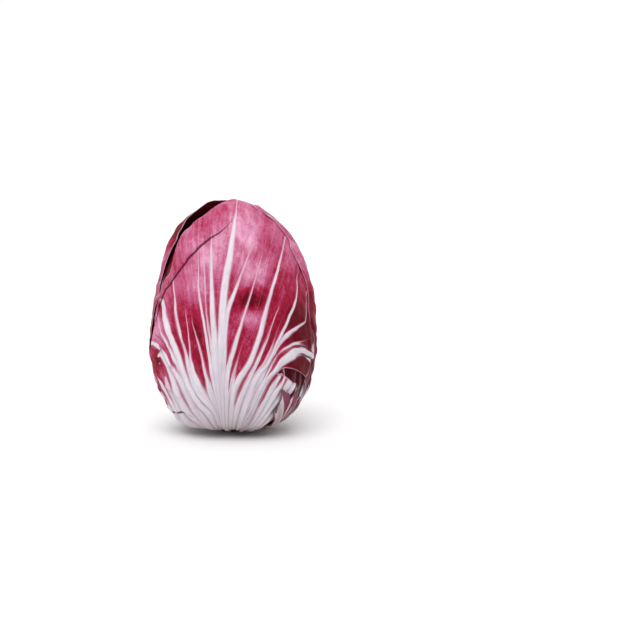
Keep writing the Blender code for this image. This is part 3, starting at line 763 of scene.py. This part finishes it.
def foldShares(fold, leaf, ways):
    # how much a fold lifts the leaf on the left of its path, how far off its crease is in line widths, how
    # dark the crease is, and how much of the ribs it cuts off
    path = np.array(fold["path"], float)
    steps = np.concatenate([[0], np.cumsum(np.hypot(*np.diff(path, axis=0).T))])
    at = np.linspace(0, steps[-1], 160)
    run, fan = (pathAt(tuple(zip(steps, values)), at) for values in path.T)
    line = fanWays(leaf, fan, run)
    heading = np.gradient(line, axis=0)
    flat = ways.reshape(-1, 3)
    nearest = (flat @ line.T).argmax(1)
    gap = flat - line[nearest]
    leafReach = 47  # millimetres from the middle of the head to its leaves
    off = np.linalg.norm(gap, axis=1) * leafReach
    left = np.einsum("ij,ij->i", np.cross(flat, heading[nearest]), gap)
    signed = np.where(left > 0, off, -off)  # so that the shader can cut a thin line on a coarse mesh
    end = np.minimum(nearest, len(line) - 1 - nearest) / len(line)
    ahead = heading[nearest] / np.linalg.norm(heading[nearest], axis=1)[:, None]
    past = np.abs(np.einsum("ij,ij->i", gap, ahead)) * leafReach
    present = smoothStep(-0.01, 0.12, end) * smoothStep(3, 0, past)
    lift = fold["height"] * smoothStep(-0.5, 0.9, signed) * np.exp(-np.maximum(signed, 0) / fold["fade"])
    widths = (signed + 0.3) / (fold["wide"] * mix(0.3, 1, smoothStep(0, 0.3, end)))
    dark = fold["shade"] * smoothStep(4, 2.5, np.abs(widths)) * smoothStep(0, 0.12, end)
    cut = fold.get("cut", 0) * smoothStep(0, 0.4, signed) * present
    return [grid.reshape(ways.shape[:-1]) for grid in (lift * present, widths, dark, cut)]


def addFolds(leaf, ways, height, half):
    creaseGap = np.full_like(height, noCrease)
    creaseShade = np.zeros_like(height)
    for fold in leaf.get("folds", ()):
        lift, gap, dark, cut = foldShares(fold, leaf, ways)
        height = height + lift * mm
        half = half * (1 - cut)
        nearer = np.abs(gap) < np.abs(creaseGap)
        creaseGap = np.where(nearer, gap, creaseGap)
        creaseShade = np.where(nearer, dark, creaseShade)
    return height, half, creaseGap, creaseShade


def thickness(along, edge):
    thick = mix(blade["foot"], blade["thin"], smoothStep(0, blade["thinFrom"], along)) * mm
    return thick * mix(blade["rimShare"], 1, smoothStep(0, blade["rimWide"], edge))


def toneField(leaf, points):
    x, y, z = points.T / mm
    # paler towards the top: partly the leaf's own bloom and partly painted sheen
    tone = smoothStep(blade["paleFrom"], blade["paleTo"], z) * 0.55 + 0.05
    for patch in leaf.get("patches", ()):
        tone = tone + patch["tone"] * np.exp(-spotDistance(patch, x, z)) * frontShare(y)
    return tone


def closedSheet(outer, inner):
    # two grids of points joined into a closed blade with a rounded margin; loop runs round the grid
    index = np.arange(outer[..., 0].size).reshape(outer.shape[:-1])
    outer, inner = outer.reshape(-1, 3), inner.reshape(-1, 3)
    count = len(outer)
    outFaces = np.stack([index[:-1, :-1], index[:-1, 1:], index[1:, 1:], index[1:, :-1]], -1).reshape(-1, 4)
    loop = np.concatenate([index[0, :], index[1:, -1], index[-1, -2::-1], index[-2:0:-1, 0]])
    inward = np.concatenate([index[1, :], index[1:, -2], index[-2, -2::-1], index[-2:0:-1, 1]])
    rim = (outer[loop] + inner[loop]) / 2
    bulge = rim - (outer[inward] + inner[inward]) / 2
    bulge /= np.maximum(np.linalg.norm(bulge, axis=1, keepdims=True), 1e-9)
    points = np.concatenate([outer, inner, rim + bulge * blade["rimBulge"] * mm])
    after = np.roll(loop, -1)
    rimIndex = 2 * count + np.arange(len(loop))
    rimAfter = np.roll(rimIndex, -1)
    rimOut = np.stack([loop, rimIndex, rimAfter, after], -1)
    rimIn = np.stack([rimIndex, loop + count, after + count, rimAfter], -1)
    faces = np.concatenate([outFaces, outFaces[:, ::-1] + count, rimOut, rimIn])
    a, b, c = points[outFaces[len(outFaces) // 2, :3]]
    if np.cross(b - a, c - b) @ (a - middle) < 0:  # faces point outwards
        faces = faces[:, ::-1]
    return points, faces, outFaces, loop


def layBlade(leaf, shell, ways, egg, hug):
    # the blade follows its solid, but clears what is under it, and lies close on it at its margins
    height = solidHeights(leaf["node"], ways, egg)
    lowest = shell.under(ways) - egg + leaf.get("clearance", blade["clearance"]) * mm
    level = (ways[..., 2] * (egg + height) + head["middle"]) / mm
    hug = hug * smoothStep(blade["hugTop"], blade["hugFoot"], level)
    height = np.maximum(mix(height, np.minimum(height, lowest), hug), lowest)
    return relaxed(height, 90, lowest), lowest


def makeSheet(leaf, shell, tree, label):
    lines, rowShare, places, ribColumns = leafColumns(leaf)
    run, fan, half, tall = leafGrid(leaf, lines, rowShare, places)
    ways = fanWays(leaf, fan, run)
    egg = eggReach(ways)
    height, lowest = layBlade(leaf, shell, ways, egg, marginShare(run, places / places[-1]))
    along, across, slant = gridDistances(ways * (egg + height)[..., None])
    ribs = ribFields(lines, ribColumns, across, slant, half, tall)
    side = np.minimum(across, across[:, -1:] - across) + 60 * (run < 0.2)  # no side margins at the stem
    edge = np.minimum(along[-1:, :] - along, side)
    wave = 0.55 + 0.45 * np.sin(leaf["waves"] * 2.4 * fan + 5 * run + leaf["facing"])
    flutter = np.sin(across * 0.9 + leaf["seed"]) * np.sin(along * 0.55 + 2 * leaf["seed"])
    curl = smoothStep(blade["curl"], 0, edge) ** 2
    height = height + leaf["flare"] * mm * curl * (wave + 0.25 * flutter)

    x, y, z = (ways[..., side] * (egg + height) / mm for side in range(3))
    z = z + head["middle"] / mm
    for gape in leaf.get("gapes", ()):  # where the margin lifts off
        share = np.exp(-spotDistance(gape, x, z)) * smoothStep(gape.get("within", 9), 0, edge)
        height = height + gape["lift"] * mm * share
    close = relaxed(lowest, 12, lowest - 0.3 * mm)
    height = mix(height, np.minimum(height, close), leaf.get("press", 0.0) * smoothStep(9, 2, edge))
    for bare in leaf.get("bare", ()):  # where ribs fade out
        half = half * (1 - smoothStep(1.3, 0.7, spotDistance(bare, x, z)) * frontShare(y))
    height, half, creaseGap, creaseShade = addFolds(leaf, ways, height, half)

    downward = np.maximum(-ways[..., 2], 1e-6)
    floorReach = np.where(ways[..., 2] < 0, (head["middle"] - blade["floorGap"] * mm) / downward, 1.0)
    reach = np.minimum(egg + height, floorReach)
    outer = middle + ways * (reach + thickness(along, edge))[..., None]
    inner = middle + ways * reach[..., None]
    points, faces, outFaces, loop = closedSheet(outer, inner)

    def everywhere(grid, rim=None):  # the same values outside and inside, and at the margin
        flat = grid.reshape(-1)
        return np.concatenate([flat, flat, flat[loop] if rim is None else np.full(len(loop), rim)])

    seedPlace = everywhere(np.full(egg.shape, leaf["seed"] * 37.0))
    betweenRibs = everywhere(np.broadcast_to(places * 6.0, egg.shape))
    sides = [np.ones(egg.size), np.zeros(egg.size)]
    attributes = dict(
        ribPlace=np.stack([betweenRibs, everywhere(along), seedPlace], -1),
        leafPlace=np.stack([everywhere(across), everywhere(along), seedPlace], -1),
        ribHalf=everywhere(half),
        along=everywhere(along),
        edge=everywhere(edge, 0.0),
        outside=np.concatenate([*sides, np.full(len(loop), 0.4)]),
        inside=np.concatenate([*sides[::-1], np.zeros(len(loop))]),
        blisterShare=everywhere(smoothStep(30, 60, along) * smoothStep(0, 6, edge)),
        creaseGap=everywhere(creaseGap),
        creaseShade=everywhere(creaseShade),
        tone=toneField(leaf, points),
        **{name: everywhere(grid) for name, grid in ribs.items()},
    )
    piece = plainMesh(label, points, faces.tolist(), attributes, leaf["finish"])
    growNodes(piece, tree, dict(
        ribScale=blade["ribScale"], blisterHeight=blade["blisterHeight"] * mm,
        blisterSize=blade["blisterSize"] * mm, blisterSeed=leaf["seed"], middle=tuple(middle),
        finish=leaf["finish"]))
    grown = np.zeros(len(points) * 3, np.float32)
    piece.data.vertices.foreach_get("co", grown)
    grown[2::3] = np.maximum(grown[2::3], 0)  # nothing goes under the floor
    piece.data.vertices.foreach_set("co", grown)
    piece.data.update()
    shell.cover(grown.reshape(-1, 3)[: egg.size].astype(float), outFaces.tolist())
    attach(piece, "root")
    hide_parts(leaf["node"])
    print(label, len(faces) * 2, "triangles")


# the dense heart, with the edges of its folded leaves winding round it
heart = dict(edges=5, edgeHeight=1.4 * mm, twist=70, meridians=180, rings=120)


def makeHeart(shell):
    rings, meridians = heart["rings"] - 1, heart["meridians"]
    ways = sphereWays(np.linspace(0, math.pi, rings + 2)[1:-1], np.linspace(0, 2 * math.pi, meridians, False))
    ways = np.concatenate([ways.reshape(-1, 3), [[0, 0, 1], [0, 0, -1]]])
    flat = np.hypot(ways[:, 0], ways[:, 1])
    wind = np.arctan2(ways[:, 1], ways[:, 0]) + math.radians(heart["twist"]) * ways[:, 2]
    ramp = (wind / (2 * math.pi) * heart["edges"]) % 1.0
    step = smoothStep(0, 0.82, ramp) * (1 - smoothStep(0.86, 1, ramp))
    upright = smoothStep(0.05, 0.45, flat) * smoothStep(-0.75, -0.2, ways[:, 2])
    distance = eggReach(ways) - heart["edgeHeight"] * (1 - step) * upright
    points = middle + ways * distance[:, None]
    quads, caps = ringFaces(rings, meridians)
    same = np.ones(len(points))
    place = np.stack([wind * 40, points[:, 2] / mm, same * 300], -1)
    attributes = dict(
        ribDist=same * 3, ribHalf=same * 0.5, along=points[:, 2] / mm, edge=np.abs(ramp - 0.84) * 40,
        inside=same * 0, tone=same * 0.3, creaseGap=same * noCrease, creaseShade=same * 0, grooveShade=same * 0,
        leafPlace=place, ribPlace=place,
    )
    piece = plainMesh("heartLeaves", points, quads + caps, attributes, shadedInnerFinish)
    shell.cover(points, quads)
    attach(piece, "root")
    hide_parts("heart_leaves")
    print("heart made")


# the cut stem
stem = dict(
    radius=12.9 * mm, topRadius=11.4 * mm, height=6.4 * mm, cutHeight=0.16 * mm, edgeRadius=0.5 * mm,
    meridians=180, bundleGap=1.1 * mm, bundleSize=0.32 * mm, seed=4,
    cream=(0.62, 0.52, 0.36, 1), tan=(0.38, 0.24, 0.12, 1), brown=(0.13, 0.07, 0.035, 1),
)


def bundleTree():  # the ends of the stem's strands, standing out a little from its cut face
    make, given = startTree("stemBundles", "Stem", dict(gap="Float", size="Float", seed="Int"))
    cut = make.maths("GREATER_THAN", make.stored("cutFace"), 0.5)
    scatter = make.add("GeometryNodeDistributePointsOnFaces", dict(distribute_method="POISSON"),
                       {"Mesh": given["Stem"], "Selection": cut, "Distance Min": given["gap"],
                        "Density Max": 3e6, "Seed": given["seed"]})
    bead = make.add("GeometryNodeMeshIcoSphere", values={"Radius": 1.0, "Subdivisions": 2})
    wide = make.add("FunctionNodeRandomValue", dict(data_type="FLOAT"),
                    {2: given["size"] * 0.5, 3: given["size"], "Seed": given["seed"]}, 1)
    scale = make.add("ShaderNodeCombineXYZ", values={0: wide, 1: wide, 2: wide * 0.4})
    placed = make.add("GeometryNodeInstanceOnPoints",
                      values={"Points": scatter, "Instance": bead, "Scale": scale})
    joined = make.add("GeometryNodeJoinGeometry")
    for part in (placed, given["Stem"]):
        make.nodeTree.links.new(part.socket, joined.socket.node.inputs[0])
    return endTree(make, "Stem", joined, given["finish"])


def stemFinish():
    material, make = startMaterial("cutStem")
    cream, tan, brown = stem["cream"], stem["tan"], stem["brown"]
    place = make.add("ShaderNodeTexCoord", output="Object")
    flat = make.vectorMaths("MULTIPLY", place, (1, 1, 0))
    out = make.vectorMaths("LENGTH", flat, output=1) / mm  # millimetres from the stem's axis
    mottle = make.noise(place, 2.2 * mm, 4, 0.65) - 0.5
    strokes = make.noise(make.vectorMaths("MULTIPLY", place, (1, 0.08, 1)), 0.5 * mm, 2, 0.6) - 0.5
    colour = make.blend(make.ramp(out + mottle * 6, 6.5, 11.5), cream, tan)
    ring = make.ramp(make.maths("ABSOLUTE", out + mottle * 1.5 - 7.5), 1.3, 0.2) * 0.5
    colour = make.blend(ring, colour, tan)
    colour = make.blend(make.ramp(out + mottle * 3, 11.6, 12.9), colour, brown)
    colour = make.blend(make.ramp(mottle, 0.1, 0.3) * 0.5, colour, brown)
    rough = make.ramp(mottle, -0.3, 0.3, 0.55, 0.75)
    return endMaterial(material, make, colour, rough, make.bump(strokes * 0.5 + mottle, 0.7, 0.2 * mm), 0.3)


def makeStem():
    # rings of the lathe's profile, from the middle of the cut face round to the middle of the top
    wide, low, corner = stem["radius"], stem["cutHeight"], stem["edgeRadius"]
    profile = [(share * wide, low) for share in np.linspace(0.04, 0.955, 24)]
    profile += [(wide * (0.955 + 0.045 * math.sin(a)), low + corner * (1 - math.cos(a)))
                for a in np.radians((20, 45, 70, 90))]
    profile += [(mix(wide, stem["topRadius"], share), mix(0.8 * mm, stem["height"], share))
                for share in np.linspace(0.05, 1, 8)]
    profile += [(stem["topRadius"] * share, stem["height"]) for share in (0.8, 0.4, 0.1)]
    profile = np.array(profile)
    turn = np.linspace(0, 2 * math.pi, stem["meridians"], False)
    radius, height = (np.repeat(profile[:, i : i + 1], len(turn), 1) for i in (0, 1))
    cutFace = height < 0.2 * mm
    ragged = 0.18 * np.sin(turn * 9 + 1) + 0.12 * np.sin(turn * 23) + 0.08 * np.sin(turn * 47 + 2)
    radius = radius + ragged * mm * smoothStep(0.5, 1, radius / wide) - 0.3 * mm * (height > 0.5 * mm)
    x, y = radius * np.cos(turn), radius * np.sin(turn)
    knife = 0.06 * np.sin(x / mm * 2.1 + 0.4 * np.sin(y / mm * 0.5)) - 0.07 * np.cos(radius / mm * 0.9)
    height = height + knife * mm * cutFace
    points = np.stack([x, y, height], -1).reshape(-1, 3)
    points = np.concatenate([points, [[0, 0, height[0].mean()], [0, 0, stem["height"]]]])
    quads, caps = ringFaces(*radius.shape, flip=True)
    share = np.concatenate([(cutFace & (radius > 0.4 * wide)).ravel(), [False, False]])
    finish = stemFinish()
    piece = plainMesh("cutStem", points, quads + caps, dict(cutFace=share), finish)
    growNodes(piece, bundleTree(), dict(gap=stem["bundleGap"], size=stem["bundleSize"], seed=stem["seed"],
                                        finish=finish))
    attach(piece, "root")
    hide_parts("stem")
    print("stem", sum(len(p.vertices) - 2 for p in piece.data.polygons), "triangles")


makeStem()
shell = Shell(rows=260, columns=520)
makeHeart(shell)
relief = reliefTree()
sheets = dict(  # from the inside out, because each is laid over those before it
    crownLeaf=crownLeaf, innerBackLeaf=innerBackLeaf, innerLeftLeaf=innerLeftLeaf,
    innerRightLeaf=innerRightLeaf, frontLobe=frontLobe, frontLeaf=frontLeaf, outerRightLeaf=outerRightLeaf,
    outerLeftLeaf=outerLeftLeaf, tornLeaf=tornLeaf,
)
for label, leaf in sheets.items():
    makeSheet(leaf, shell, relief, label)
print("leaves made")


# floor, lights and camera
studio = dict(
    floor=(0.86, 0.86, 0.86, 1), floorSide=40.0, front=0.35, back=1.02,  # how bright it is on each side
    sun=2.1, sunSpread=50, sunRise=58, sunTurn=-12,
    lens=85, aim=(52 * mm, 0, 66 * mm), distance=0.909, rise=8.0,
)


def makeFloor():
    mesh = bpy.data.meshes.new("floor")
    side = studio["floorSide"]
    corners = [(x * side, y * side, 0) for x, y in ((-1, -1), (1, -1), (1, 1), (-1, 1))]
    mesh.from_pydata(corners, [], [(0, 1, 2, 3)])
    material = bpy.data.materials.new("floorWhite")
    material.use_nodes = True
    shader = material.node_tree.nodes["Principled BSDF"]
    shader.inputs["Base Color"].default_value = studio["floor"]
    shader.inputs["Roughness"].default_value = 0.6
    mesh.materials.append(material)
    floor = placeObject("floor", mesh)


def makeLights():
    lamp = bpy.data.lights.new("softSun", "SUN")
    lamp.energy = studio["sun"]
    lamp.angle = math.radians(studio["sunSpread"])
    sun = placeObject("softSun", lamp)
    sun.rotation_euler = (math.radians(90 - studio["sunRise"]), 0, math.radians(studio["sunTurn"]))
    world = bpy.data.worlds.new("studio")  # white behind the head, and dimmer on the camera's side
    bpy.context.scene.world = world
    world.use_nodes = True
    make = NodeMaker(world.node_tree)
    way = make.add("ShaderNodeTexCoord", output="Object")
    depth = make.add("ShaderNodeSeparateXYZ", values={"Vector": way}, output=1)
    light = make.ramp(depth, -0.6, 0.1, studio["front"], studio["back"])
    background = world.node_tree.nodes["Background"]
    background.inputs["Color"].default_value = (1, 1, 1, 1)
    world.node_tree.links.new(light.socket, background.inputs["Strength"])


def makeCamera():
    camera = bpy.data.cameras.new("camera")
    camera.lens = studio["lens"]
    view = placeObject("camera", camera)
    rise = math.radians(studio["rise"])
    away = Vector((0, -math.cos(rise), math.sin(rise)))
    view.location = Vector(studio["aim"]) + away * studio["distance"]
    view.rotation_euler = (math.radians(90) - rise, 0, 0)
    bpy.context.scene.camera = view
    bpy.context.scene.view_settings.view_transform = "Standard"


makeFloor()
makeLights()
makeCamera()
print("studio made")
